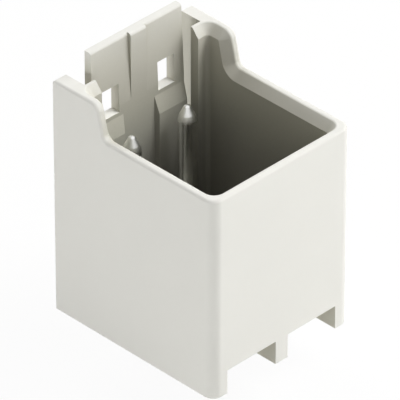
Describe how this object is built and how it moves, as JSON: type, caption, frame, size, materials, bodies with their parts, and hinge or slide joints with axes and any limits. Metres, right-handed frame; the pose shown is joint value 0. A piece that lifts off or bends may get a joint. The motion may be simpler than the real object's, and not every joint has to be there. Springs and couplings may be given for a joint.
{
  "type": "pin header",
  "caption": "Shrouded pin header for a circuit board: a deep moulded box open at the top, with a windowed latch plate at the back and round contact pins that end in solder tails.",
  "frame": {"origin": "on the board's surface, midway between the two solder tails", "axes": "+X along the pin row, +Y towards the latch plate at the back, +Z away from the board, the way the plug is pulled out"},
  "size_m": [0.0126, 0.0144, 0.0226],
  "materials": {
    "housing_nylon": "moulded nylon, fine matt",
    "pin_tin": "tin-plated, bright"
  },
  "bodies": {
    "root": {"housing": "housing_nylon", "contact_pin_left": "pin_tin", "contact_pin_right": "pin_tin"}
  },
  "joints": []
}
